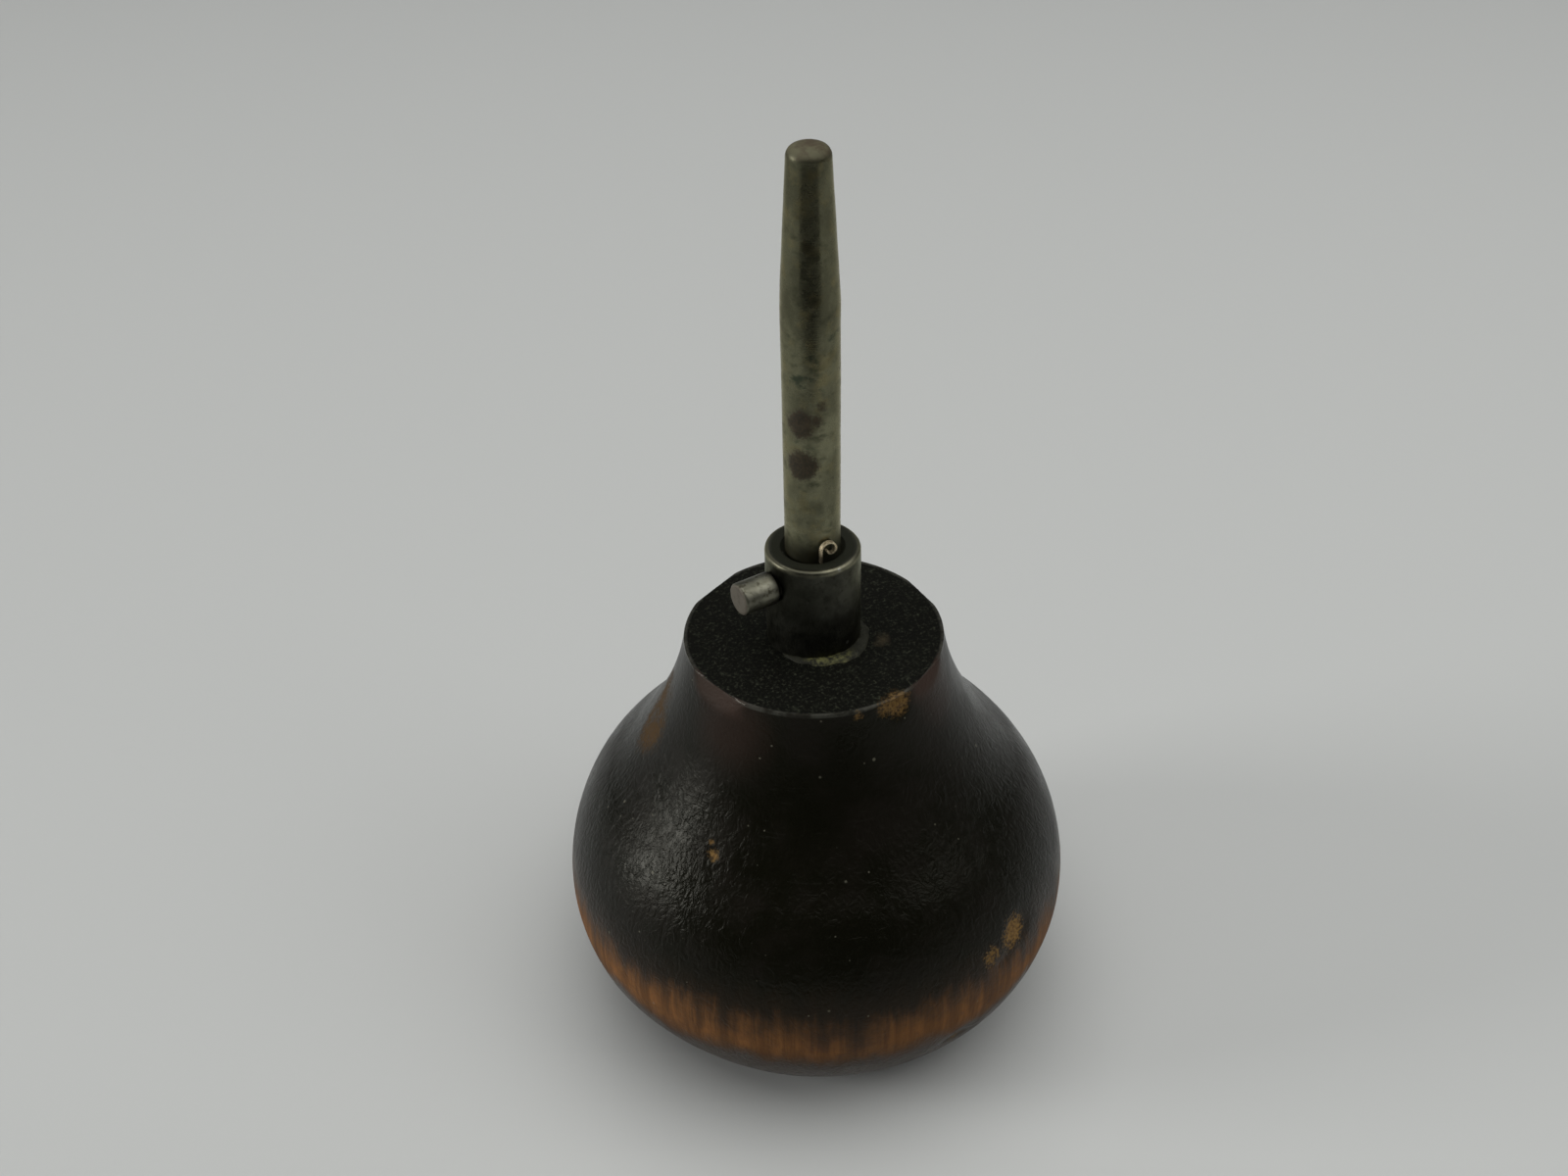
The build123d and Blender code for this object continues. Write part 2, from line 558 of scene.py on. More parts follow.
def lacquered_wood(settings):
    """Near-black lacquer over turned hardwood, rubbed through round the belly and at a few knocks."""
    f = Finish("lacquered_wood")
    fibres = f.noise(0.30, 5, 0.6, stretch=(1, 1, 30))
    broad_fibres = f.noise(1.3, 4, 0.55, stretch=(1, 1, 16), shift=7.3)
    cloud = f.noise(5.5, 4, 0.6, shift=3.1)
    patchy = f.noise(1.7, 5, 0.65, shift=11.7)
    fine = f.noise(0.28, 3, 0.6, shift=5.9)

    # Bare wood: orange brown with darker fibres and slow changes of tone.
    dark_wood = [0.55 * c for c in settings.bare_wood]
    wood = f.mix(f.ramp(broad_fibres, 0.38, 0.66), settings.bare_wood, dark_wood)
    wood = f.mix(f.times(f.ramp(fibres, 0.44, 0.66), 0.45), wood, (0.070, 0.029, 0.012))
    wood = f.mix(f.times(f.ramp(patchy, 0.50, 0.66), 0.35), wood, (0.085, 0.045, 0.020))
    wood = f.mix(f.times(f.ramp(cloud, 0.50, 0.74), 0.5), wood, (0.075, 0.034, 0.018))

    # The rubbed band: full round the widest ring, worn out along the fibres, fading above and below.
    drift = f.add(f.times(f.less(broad_fibres, 0.5), 2.2), f.times(f.less(cloud, 0.5), 5.0))
    drift = f.add(drift, f.times(f.less(fibres, 0.5), 1.2))
    level = f.add(f.z, drift)
    rubbed = f.times(f.ramp(level, 12.8, 17.6, 1.0, 0.0), f.ramp(level, 9.6, 13.0))
    kept_dark = f.spot(around(8, 23.7, 14.0) * MM, 1.9, 1.3, cloud, 3.0)
    rubbed = f.times(rubbed, f.less(1.0, f.times(kept_dark, 0.55)))
    rubbed = f.times(rubbed, f.ramp(patchy, 0.26, 0.50, 0.70, 1.0))

    # Below the band the stain is thin and reddish.
    below = f.ramp(level, 10.0, 14.5, 1.0, 0.0)
    lacquer = f.mix(f.times(f.ramp(cloud, 0.4, 0.7), 0.5), settings.lacquer, (0.010, 0.0075, 0.006))
    lacquer = f.mix(f.times(below, 0.85), lacquer, (0.036, 0.021, 0.010))
    halo = f.times(f.ramp(level, 16.0, 20.5, 1.0, 0.0), 0.5)
    lacquer = f.mix(halo, lacquer, (0.022, 0.011, 0.005))

    # Knocks and scuffs, each ragged in its own way: place, radius, softness, spread and strength.
    ragged = f.add(f.times(patchy, 0.55), f.times(fine, 0.45))
    knocks = [
        (around(-32.3, 17.1, 28.0), 0.42, 0.26, 1.8, 0.75),
        (around(-34.2, 16.6, 28.8), 0.22, 0.18, 1.0, 0.6),
        (around(48.5, 23.1, 18.4), 1.30, 0.55, 4.6, 0.95),
        (around(40.5, 23.3, 18.0), 0.70, 0.50, 4.6, 0.75),
        (around(36.5, 11.6, 40.35), 1.0, 0.55, 2.6, 0.6),
        (around(31.0, 11.6, 40.5), 0.8, 0.5, 2.4, 0.5),
        (around(17.0, 11.5, 40.5), 0.34, 0.25, 1.2, 0.5),
        (around(33.0, 22.6, 8.3), 0.6, 0.5, 3.4, 0.7),
        (around(150.0, 21.0, 22.5), 0.9, 0.4, 3.4, 0.9),
        (around(-152.0, 15.2, 31.5), 0.7, 0.3, 3.0, 0.8),
    ]
    speckled = f.add(f.times(patchy, 0.3), f.times(fine, 0.7))
    scuffed = None
    for point, radius, soft, spread, strength in knocks:
        patch = f.times(f.spot(point * MM, radius, soft, speckled, spread), strength)
        scuffed = patch if scuffed is None else f.most(scuffed, patch)
    scuff_colour = f.mix(f.ramp(fine, 0.35, 0.7), (0.26, 0.150, 0.046), (0.10, 0.052, 0.018))

    # A longer patch worn thin down the hollow of the neck.
    neck_patch = f.spot(around(-90.0, 13.6, 34.0) * MM, 2.1, 1.0, ragged, 4.0)
    neck_patch = f.most(neck_patch, f.spot(around(-86.0, 14.9, 31.7) * MM, 2.6, 1.1, ragged, 5.0))
    neck_patch = f.times(neck_patch, f.ramp(ragged, 0.46, 0.58, 1.0, 0.25))

    # The flat top is matt black, with pale dust caught in the end grain.
    on_top = f.times(f.ramp(f.z, 40.84, 40.93), f.ramp(f.radius, 11.18, 11.36, 1.0, 0.0))
    grit = f.noise(0.30, 3, 0.7, shift=2.2)
    crumbs = f.noise(0.85, 4, 0.7, shift=12.9)
    gritty = f.times(f.ramp(grit, 0.50, 0.70), f.ramp(crumbs, 0.40, 0.60, 0.3, 1.0))
    top_colour = f.mix(gritty, (0.0012, 0.0014, 0.0008), (0.036, 0.039, 0.026))
    top_colour = f.mix(f.times(f.ramp(crumbs, 0.56, 0.72), 0.6), top_colour, (0.016, 0.018, 0.012))
    smear = f.spot(around(77, 6.2, 41.0) * MM, 0.6, 0.5, patchy, 2.6)
    top_colour = f.mix(f.times(smear, 0.7), top_colour, (0.055, 0.042, 0.024))

    # The edge of the top is rubbed smooth in front and painted a pale grey, partly wear and partly a
    # painted highlight along the edge, and brown where it has been worn flat.
    edge = f.times(f.ramp(f.z, 40.72, 40.88), f.ramp(f.radius, 11.14, 11.26))
    edge_wear_and_glint = f.times(edge, f.ramp(patchy, 0.34, 0.60, 0.2, 0.8))
    flats = f.spot(around(-48, 11.3, 40.3) * MM, 3.0, 0.9, patchy, 1.6)
    flats = f.most(flats, f.spot(around(57, 11.3, 40.3) * MM, 2.4, 0.9, patchy, 1.6))
    flats = f.times(flats, f.ramp(f.z, 38.6, 40.2))

    bare = f.most(rubbed, scuffed)
    thin_stain = f.spot(around(-38, 12.6, 38.3) * MM, 3.4, 2.2, cloud, 3.0)
    thin_stain = f.most(thin_stain, f.spot(around(62, 12.4, 39.0) * MM, 3.0, 1.8, cloud, 3.0))
    colour = f.mix(f.times(thin_stain, 0.6), lacquer, (0.028, 0.015, 0.011))
    colour = f.mix(rubbed, colour, wood)
    colour = f.mix(f.times(neck_patch, 0.85), colour, (0.080, 0.044, 0.016))
    # Partly painted highlight: the pale grey along the edge of the top.
    colour = f.mix(f.times(edge_wear_and_glint, 0.8), colour, (0.075, 0.074, 0.062))
    colour = f.mix(f.times(flats, 0.45), colour, (0.066, 0.037, 0.028))
    colour = f.mix(scuffed, colour, scuff_colour)
    colour = f.mix(f.times(on_top, f.inverse(scuffed)), colour, top_colour)
    dust = f.most(f.specks(0.75, 0.008, 4.0), f.specks(0.45, 0.006, 9.0))
    colour = f.mix(f.times(dust, 0.4), colour, (0.24, 0.23, 0.17))

    # Lacquer laid on by hand: crinkled, with faint scratches round the turning.
    crinkle = f.noise(0.85, 3, 0.55, distortion=1.6, stretch=(1, 1, 1.5), shift=1.3)
    pebbles = f.noise(0.34, 2, 0.5, shift=6.4)
    scratches = f.noise(0.15, 2, 0.5, stretch=(30, 30, 1), shift=8.8)
    scratch = f.times(f.ramp(scratches, 0.68, 0.72), f.ramp(patchy, 0.45, 0.6))
    worn = f.most(f.times(bare, 0.9), f.times(neck_patch, 0.9))
    matt = f.most(worn, f.most(on_top, f.times(flats, 0.45)))
    rough = f.between(matt, f.ramp(cloud, 0.3, 0.7, 0.25, 0.37), 0.72)
    rough = f.between(f.times(edge, 0.8), rough, 0.20)
    laid_on = f.times(f.between(matt, 1.0, 0.35), f.ramp(f.z, 29.0, 36.0, 1.0, 0.4))
    laid_on = f.times(laid_on, f.ramp(f.z, 5.0, 11.0, 0.3, 1.0))
    height = f.add(f.times(crinkle, laid_on), f.times(pebbles, 0.22))
    height = f.add(height, f.times(f.less(0.5, fibres), f.between(bare, 0.03, 0.35)))
    height = f.less(height, f.times(bare, 0.25))
    height = f.less(height, f.times(scratch, 0.12))
    height = f.add(height, f.times(on_top, f.times(grit, 0.5)))
    f.set(
        Base_Color=colour,
        Roughness=f.between(f.times(scratch, f.inverse(matt)), rough, 0.5),
        Specular_IOR_Level=0.15,
        Specular_Tint=(1.0, 0.98, 0.84),
        IOR=1.45,
        Normal=f.bump(height, 0.10),
    )
    return f.material


class PUSHTOOL_OT_handle(Operator):
    """Turn the wooden handle, wear it and finish it"""

    bl_idname = "push_tool.handle"
    bl_label = "Handle"

    def execute(self, context):
        settings = context.scene.push_tool_handle
        outline, top_radius = handle_profile(settings)
        bm = outline.turned(320)
        wear_handle(bm, top_radius)
        piece = new_piece("turned_handle", bm, 50.0)
        install(piece, "handle", "handle_body", lacquered_wood(settings))
        return {"FINISHED"}


# ---------------------------------------------------------------------------
# Socket collar
# ---------------------------------------------------------------------------


def collar_steel(settings):
    """Dark satin steel, bright where hands and rods have rubbed the rim."""
    f = Finish("collar_steel")
    rim = RIM / MM
    cloud = f.noise(2.4, 5, 0.6, shift=1.9)
    blotch = f.noise(0.8, 4, 0.65, shift=6.1)
    lines = f.noise(0.12, 3, 0.5, stretch=(20, 20, 1), shift=3.3)
    mottled = f.mix(f.ramp(cloud, 0.38, 0.66), settings.collar, [1.9 * c for c in settings.collar])
    mottled = f.mix(f.times(f.ramp(blotch, 0.52, 0.74), 0.8), mottled, (0.022, 0.019, 0.013))
    under_rim = f.ramp(f.add(f.z, f.times(f.less(blotch, 0.5), 0.5)), rim - 0.62, rim - 0.22)
    outer = f.ramp(f.radius, 3.70, 3.95)
    bright = f.times(under_rim, outer)
    bright = f.times(bright, f.ramp(cloud, 0.25, 0.6, 0.45, 1.0))
    # Painted shade: the bright rim is dimmed at the front, where it catches less light.
    rim_front_shade = f.spot(around(-3, 4.1, rim) * MM, 1.2, 0.7, blotch, 1.4)
    bright = f.times(bright, f.less(1.0, f.times(rim_front_shade, 0.6)))
    well = f.times(f.ramp(f.z, rim - 0.9, rim - 0.3), f.ramp(f.radius, 3.5, 3.8, 1.0, 0.0))
    colour = f.mix(bright, mottled, (0.25, 0.24, 0.165))
    # Painted shade: the collar is darkened beneath the set screw, where the screw's shadow falls.
    darkening = f.spot(around(-34, 4.15, 47.4) * MM, 2.9, 1.7, blotch, 2.4)
    colour = f.mix(f.times(darkening, 0.66), colour, (0.009, 0.009, 0.006))
    colour = f.mix(well, colour, (0.013, 0.014, 0.008))
    dust = f.specks(0.9, 0.06, 2.0)
    colour = f.mix(f.times(dust, 0.5), colour, (0.4, 0.4, 0.36))
    rough = f.between(bright, f.ramp(blotch, 0.3, 0.7, 0.34, 0.50), 0.42)
    height = f.add(f.times(blotch, 0.6), f.times(lines, 0.35))
    f.set(
        Base_Color=colour,
        Metallic=f.between(well, 1.0, 0.2),
        Roughness=f.between(well, rough, 0.7),
        Specular_IOR_Level=0.3,
        Specular_Tint=(1.0, 1.0, 0.84),
        Normal=f.bump(height, 0.012),
    )
    return f.material


class PUSHTOOL_OT_collar(Operator):
    """Turn the steel socket with its spigot and cross hole"""

    bl_idname = "push_tool.collar"
    bl_label = "Socket Collar"

    def execute(self, context):
        spigot_bottom = COLLAR_LOW.z
        spigot_chamfer = 0.6 * MM
        hole_radius = 1.24 * MM
        bore_radius = ROD_RADIUS + 0.02 * MM
        mouth = 0.4 * MM
        edge = 0.34 * MM
        outline = Outline(0, spigot_bottom)
        outline.line(SPIGOT_RADIUS - spigot_chamfer, spigot_bottom, 2)
        outline.line(SPIGOT_RADIUS, spigot_bottom + spigot_chamfer)
        outline.line(SPIGOT_RADIUS, FLAT_TOP, 10)
        outline.line(COLLAR_RADIUS, FLAT_TOP, 2)
        outline.line(COLLAR_RADIUS, RIM - edge, 44)
        outline.arc(COLLAR_RADIUS - edge, RIM - edge, pi / 2, 5)
        outline.line(bore_radius + mouth, RIM, 5)
        outline.line(bore_radius, RIM - mouth, 3)
        outline.line(bore_radius, ROD_LOW.z, 20)
        outline.line(0, ROD_LOW.z, 2)
        bm = outline.turned(144)
        bm.normal_update()
        for vert in bm.verts:
            outside = hypot(vert.co.x, vert.co.y) > bore_radius + 0.6 * MM
            if outside and vert.co.z > FLAT_TOP:
                vert.co += vert.normal * 0.03 * MM * noise.noise(vert.co / (2.1 * MM))
        for turn, depth in ((-20, 0.07), (41, 0.10), (150, 0.08)):
            outward = around(turn, 1, 0)
            corner = outward * (COLLAR_RADIUS - depth * MM) + UP * (RIM - depth * MM)
            file_flat(bm, outward + UP, corner, 0.04 * MM)
        piece = new_piece("steel_socket", bm, 40.0)

        hole_length = COLLAR_RADIUS + MM
        hole = cylinder(hole_radius, hole_length, 48)
        bmesh.ops.rotate(hole, verts=hole.verts, cent=(0, 0, 0), matrix=Matrix.Rotation(pi / 2, 3, "Y"))
        bmesh.ops.translate(hole, verts=hole.verts, vec=(-hole_length / 2, 0, SCREW_HEIGHT))
        carve(piece, hole)
        material = collar_steel(context.scene.push_tool_steel)
        install(piece, "socket_collar", "handle_body", material)
        return {"FINISHED"}


# ---------------------------------------------------------------------------
# Rod
# ---------------------------------------------------------------------------


def rod_steel(settings):
    """Dull mottled steel with rust patches, darker where it enters the socket."""
    f = Finish("rod_steel")
    rim = RIM / MM
    cloud = f.noise(2.6, 4, 0.6, stretch=(1, 1, 1.4), shift=2.7)
    mottle = f.noise(1.1, 5, 0.62, stretch=(1.5, 1.5, 1), shift=8.1)
    pits = f.noise(0.22, 3, 0.6, shift=4.4)
    lines = f.noise(0.09, 3, 0.5, stretch=(16, 16, 1), shift=5.2)
    colour = f.mix(f.ramp(cloud, 0.36, 0.64), settings.rod, [0.62 * c for c in settings.rod])
    colour = f.mix(f.times(f.ramp(mottle, 0.52, 0.72), 0.65), colour, (0.040, 0.044, 0.028))
    # Painted shade: the steel is made darker towards the top, standing in for the darker reflection it
    # shows there.
    colour = f.mix(f.ramp(f.z, rim + 9.0, rim + 26.0, 0.0, 0.42), colour, (0.045, 0.044, 0.028))
    stain = f.ramp(f.noise(1.5, 4, 0.6, stretch=(1.6, 1.6, 1), shift=14.0), 0.55, 0.70)
    warm = f.ramp(f.noise(1.9, 4, 0.6, shift=31.0), 0.48, 0.68)
    colour = f.mix(f.times(warm, 0.45), colour, (0.190, 0.160, 0.075))
    middle = f.band(f.z, rim + 11.0, rim + 21.5, 2.5)
    colour = f.mix(f.times(f.times(stain, middle), 0.75), colour, (0.020, 0.034, 0.024))
    ragged = f.add(f.times(mottle, 0.5), f.times(pits, 0.5))
    patches = [
        (around(-24, 2.4, rim + 13.2), 1.25, 0.40, 2.4),
        (around(8, 2.4, rim + 13.6), 0.55, 0.35, 2.0),
        (around(-22, 2.4, rim + 9.4), 1.35, 0.35, 2.2),
        (around(20, 2.4, rim + 14.8), 0.35, 0.3, 2.0),
        (around(120, 2.4, rim + 15.0), 1.1, 0.3, 2.6),
        (around(-160, 2.4, rim + 5.5), 0.9, 0.3, 2.6),
    ]
    rusted = None
    for point, radius, soft, spread in patches:
        patch = f.spot(point * MM, radius, soft, ragged, spread)
        rusted = patch if rusted is None else f.most(rusted, patch)
    top = ROD_HIGH.z / MM
    tip = f.ramp(f.add(f.z, f.times(f.less(mottle, 0.5), 0.6)), top - 0.9, top - 0.2)
    freckles = f.ramp(f.noise(0.8, 4, 0.6, shift=19.0), 0.64, 0.74)
    rusted = f.most(rusted, f.times(freckles, 0.35))
    rust = f.mix(f.ramp(pits, 0.38, 0.60), settings.rust, [0.35 * c for c in settings.rust])
    rust = f.mix(f.times(f.ramp(mottle, 0.45, 0.62), 0.5), rust, (0.060, 0.040, 0.022))
    colour = f.mix(f.times(rusted, 0.9), colour, rust)
    beige = f.mix(f.ramp(mottle, 0.42, 0.60), (0.118, 0.110, 0.064), (0.070, 0.052, 0.030))
    colour = f.mix(f.times(tip, 0.9), colour, beige)
    # Darker over the last few millimetres above the socket, and part way down into it.
    darkening = f.ramp(f.add(f.z, f.times(f.less(mottle, 0.5), 1.6)), rim + 0.4, rim + 3.0, 1.0, 0.0)
    darkening = f.times(darkening, f.ramp(f.z, rim - 3.0, rim - 0.6, 0.4, 1.0))
    colour = f.mix(f.times(darkening, 0.75), colour, (0.020, 0.020, 0.014))
    ring = f.times(f.band(f.z, rim + 3.8, rim + 5.6, 1.3), f.ramp(cloud, 0.3, 0.6, 0.3, 1.0))
    colour = f.mix(f.times(ring, 0.5), colour, (0.030, 0.032, 0.022))
    dirt = f.most(rusted, f.times(darkening, 0.8))
    rough = f.ramp(mottle, 0.3, 0.7, 0.20, 0.34)
    height = f.add(f.times(pits, f.between(rusted, 0.3, 1.0)), f.times(lines, 0.3))
    height = f.add(height, f.times(rusted, 0.8))
    f.set(
        Base_Color=colour,
        Metallic=f.between(f.most(rusted, tip), 1.0, 0.2),
        Roughness=f.between(f.most(dirt, tip), rough, 0.72),
        Specular_Tint=(1.0, 0.97, 0.82),
        Normal=f.bump(height, 0.014),
    )
    return f.material


class PUSHTOOL_OT_rod(Operator):
    """Turn the tapered push rod"""

    bl_idname = "push_tool.rod"
    bl_label = "Push Rod"

    def execute(self, context):
        taper_start = FLAT_TOP + 32.4 * MM
        taper_blend = 0.6 * MM
        tip_radius = 1.75 * MM
        tip_round = 0.90 * MM
        foot = 0.3 * MM
        outline = Outline(0, ROD_LOW.z)
        outline.line(ROD_RADIUS - foot, ROD_LOW.z, 2)
        outline.line(ROD_RADIUS, ROD_LOW.z + foot)
        outline.line(ROD_RADIUS, RIM, 30)
        outline.line(ROD_RADIUS, taper_start - taper_blend, 50)
        outline.line(ROD_RADIUS - 0.02 * MM, taper_start + taper_blend, 3)
        shoulder = ROD_HIGH.z - tip_round
        outline.line(tip_radius + 0.02 * MM, shoulder, 28)
        outline.arc(tip_radius + 0.02 * MM - tip_round, shoulder, pi / 2, 8)
        outline.line(0, ROD_HIGH.z, 6)
        bm = outline.turned(112)
        bm.normal_update()
        for vert in bm.verts:
            if vert.co.z > RIM:
                uneven = 0.022 * noise.noise(vert.co / (2.6 * MM)) - 0.012
                vert.co += vert.normal * uneven * MM
        piece = new_piece("push_rod", bm, 40.0)
        install(piece, "tool_rod", "rod_body", rod_steel(context.scene.push_tool_steel))
        return {"FINISHED"}


# ---------------------------------------------------------------------------
# Set screw
# ---------------------------------------------------------------------------


def screw_steel(settings):
    """Worn satin steel with a dull end."""
    f = Finish("screw_steel")
    mottle = f.noise(0.55, 5, 0.62, shift=3.7)
    cloud = f.noise(1.6, 3, 0.5, shift=9.2)
    lines = f.noise(0.07, 3, 0.5, stretch=(1, 18, 18), shift=1.2)
    colour = f.mix(f.ramp(cloud, 0.35, 0.65), settings.screw, [0.6 * c for c in settings.screw])
    colour = f.mix(f.times(f.ramp(mottle, 0.52, 0.70), 0.8), colour, (0.055, 0.048, 0.030))
    end = f.ramp(f.x, SCREW_LOW.x / MM + 0.02, SCREW_LOW.x / MM + 0.16, 1.0, 0.0)
    colour = f.mix(f.times(end, 0.75), colour, (0.105, 0.085, 0.066))
    # Painted shade: the screw is darkened where it meets the collar, in the shadow at its root.
    root = f.ramp(f.x, -COLLAR_RADIUS / MM - 0.9, -COLLAR_RADIUS / MM - 0.1)
    colour = f.mix(f.times(root, 0.8), colour, (0.02, 0.018, 0.013))
    f.set(
        Base_Color=colour,
        Metallic=f.between(end, 1.0, 0.6),
        Roughness=f.between(end, f.ramp(mottle, 0.3, 0.7, 0.36, 0.52), 0.62),
        Normal=f.bump(f.add(mottle, f.times(lines, 0.4)), 0.010),
    )
    return f.material


class PUSHTOOL_OT_screw(Operator):
    """Turn the set screw with its plain head and ridged shank"""

    bl_idname = "push_tool.screw"
    bl_label = "Set Screw"

    def execute(self, context):
        head_radius = (SCREW_HIGH.z - SCREW_LOW.z) / 2
        crest, root, pitch = 1.2 * MM, 0.96 * MM, 0.45 * MM
        head_length = 3.35 * MM
        length = SCREW_HIGH.x - SCREW_LOW.x
        shank = length - head_length
        edge = 0.3 * MM
        outline = Outline(0, 0)
        outline.line(root, 0, 2)
        start = (shank - 3 * pitch) / 2
        for turn in range(3):
            outline.line(root, start + turn * pitch)
            outline.line(crest, start + (turn + 0.5) * pitch)
        outline.line(root, start + 3 * pitch)
        outline.line(root, shank)
        outline.line(head_radius - 0.12 * MM, shank)
        outline.line(head_radius, shank + 0.12 * MM)
        outline.line(head_radius, length - edge, 14)
        outline.arc(head_radius - edge, length - edge, pi / 2, 5)
        outline.line(0, length, 6)
        bm = outline.turned(80)
        bm.normal_update()
        for vert in bm.verts:
            if vert.co.z > shank + 0.2 * MM:
                vert.co += vert.normal * 0.016 * MM * noise.noise(vert.co / (1.3 * MM))
        piece = new_piece("clamp_screw", bm, 40.0)

        piece.data.transform(Matrix.Rotation(-pi / 2, 4, "Y"))
        piece.data.transform(Matrix.Translation((SCREW_HIGH.x, 0, SCREW_HEIGHT)))
        install(piece, "set_screw", "screw_body", screw_steel(context.scene.push_tool_steel))
        return {"FINISHED"}


# ---------------------------------------------------------------------------
# Glue and metal curl
# ---------------------------------------------------------------------------


def old_glue():
    """Hardened glue, yellow under a skin of dirt."""
    f = Finish("old_glue")
    blotch = f.noise(0.7, 4, 0.6, shift=2.0)
    colour = f.mix(f.ramp(blotch, 0.36, 0.62), (0.120, 0.118, 0.044), (0.014, 0.014, 0.008))
    clean = f.spot(around(14, 4.6, 41.2) * MM, 1.7, 1.0, blotch, 3.0)
    colour = f.mix(f.inverse(clean), colour, f.mix(blotch, (0.030, 0.030, 0.018), (0.006, 0.006, 0.004)))
    f.set(
        Base_Color=colour,
        Roughness=f.ramp(blotch, 0.3, 0.7, 0.55, 0.75),
        Specular_IOR_Level=0.2,
        Normal=f.bump(f.noise(0.4, 4, 0.6, shift=7.0), 0.05),
    )
    return f.material


class PUSHTOOL_OT_glue(Operator):
    """Pour the crescent of glue at the foot of the collar"""

    bl_idname = "push_tool.glue"
    bl_label = "Glue"

    def execute(self, context):
        pool_radius, offset, thickness = 4.2 * MM, 1.0 * MM, 0.35 * MM
        centre = around(42.5, offset, FLAT_TOP)
        bm = cylinder(pool_radius, thickness, 160, pool_radius - 0.12 * MM)
        bmesh.ops.translate(bm, verts=bm.verts, vec=centre + UP * thickness / 2)
        caps = [face for face in bm.faces if len(face.verts) > 4]
        for _ in range(6):
            bmesh.ops.inset_region(bm, faces=caps, thickness=0.22 * MM, depth=0)
        top = [v for v in bm.verts if v.co.z > FLAT_TOP + thickness / 2]
        for vert in bm.verts:
            outward = vert.co - centre
            outward.z = 0
            vert.co += outward.normalized() * 0.28 * MM * noise.noise(vert.co / (1.1 * MM))
        for vert in top:
            edge = (pool_radius - hypot(vert.co.x - centre.x, vert.co.y - centre.y)) / (0.7 * MM)
            swell = min(max(edge, 0.0), 1.0)
            lumps = noise.noise(vert.co / (0.9 * MM))
            vert.co.z = FLAT_TOP + thickness * (0.25 + 0.6 * sqrt(swell)) + 0.07 * MM * lumps
        piece = new_piece("glue_crescent", bm, 60.0)
        collar = cylinder(COLLAR_RADIUS, 4 * MM, 144)
        bmesh.ops.translate(collar, verts=collar.verts, vec=UP * FLAT_TOP)
        carve(piece, collar)
        install(piece, "glue_bead", "handle_body", old_glue())
        return {"FINISHED"}


def bright_metal():
    """Freshly cut metal with a warm cast."""
    f = Finish("bright_metal")
    streaks = f.noise(0.10, 3, 0.6, shift=1.0)
    colour = f.mix(f.ramp(streaks, 0.4, 0.66), (0.72, 0.62, 0.42), (0.30, 0.22, 0.12))
    colour = f.mix(f.ramp(f.z, RIM / MM + 0.5, RIM / MM + 1.3, 0.85, 0.0), colour, (0.05, 0.042, 0.026))
    f.set(Base_Color=colour, Metallic=0.7, Roughness=0.42, Normal=f.bump(streaks, 0.01))
    return f.material


class PUSHTOOL_OT_curl(Operator):
    """Bend the curl of thin metal that stands on the collar"""

    bl_idname = "push_tool.curl"
    bl_label = "Metal Curl"

    def execute(self, context):
        thickness, width = 0.16 * MM, 0.35 * MM
        bow, inner = 0.7 * MM, 0.42 * MM
        leg = 1.2 * MM
        middle = -ROD_RADIUS - 0.1 * MM - width / 2
        bm = bmesh.new()
        bmesh.ops.create_grid(bm, x_segments=1, y_segments=2, size=0.5)
        bmesh.ops.scale(bm, verts=bm.verts, vec=(thickness, width, 1))
        bmesh.ops.translate(bm, verts=bm.verts, vec=(-bow, middle, RIM))
        end = bm.verts[:] + bm.edges[:] + bm.faces[:]
        # The leg climbs straight, then the bow and its tucked end turn about their own middles.
        for centre, angle, steps, climb in (
            ((0, 0, 0), 0, 8, leg / 8),
            ((0, 0, RIM + leg), pi, 22, 0),
            ((bow - inner, 0, RIM + leg), pi, 16, 0),
        ):
            run = bmesh.ops.spin(
                bm, geom=end, cent=centre, axis=(0, 1, 0), angle=angle, steps=steps, dvec=UP * climb
            )
            end = run["geom_last"]
        turned = Matrix.Rotation(radians(-4.5), 3, "Z")
        bmesh.ops.rotate(bm, verts=bm.verts, cent=(0, 0, 0), matrix=turned)
        bmesh.ops.recalc_face_normals(bm, faces=bm.faces)
        piece = new_piece("thin_curl", bm, 40.0)
        install(piece, "metal_curl", "handle_body", bright_metal())
        return {"FINISHED"}


# ---------------------------------------------------------------------------
# Stage
# ---------------------------------------------------------------------------


def aim(obj, target, roll=0.0):
    """Points an object's -Z at a target, with a roll about the line of sight in radians."""
    look = (Vector(target) - obj.location).to_track_quat("-Z", "Y")
    obj.rotation_euler = (look.to_matrix() @ Matrix.Rotation(roll, 3, "Z")).to_euler()


def softbox(name, place, target, size, power):
    """A square area lamp that the camera doesn't see, aimed at a target."""
    lamp = bpy.data.lights.new(name, "AREA")
    lamp.shape = "SQUARE"
    lamp.size = size
    lamp.energy = power
    obj = bpy.data.objects.new(name, lamp)
    obj.location = place
    obj.visible_camera = False
    bpy.context.scene.collection.objects.link(obj)
    aim(obj, target)


def seen_from_front(turn, elevation, distance, target):
    """A point at a turn and elevation in degrees from a target, measured from the front to the right."""
    rise = radians(elevation)
    return Vector(target) + around(turn, distance * cos(rise), distance * sin(rise))


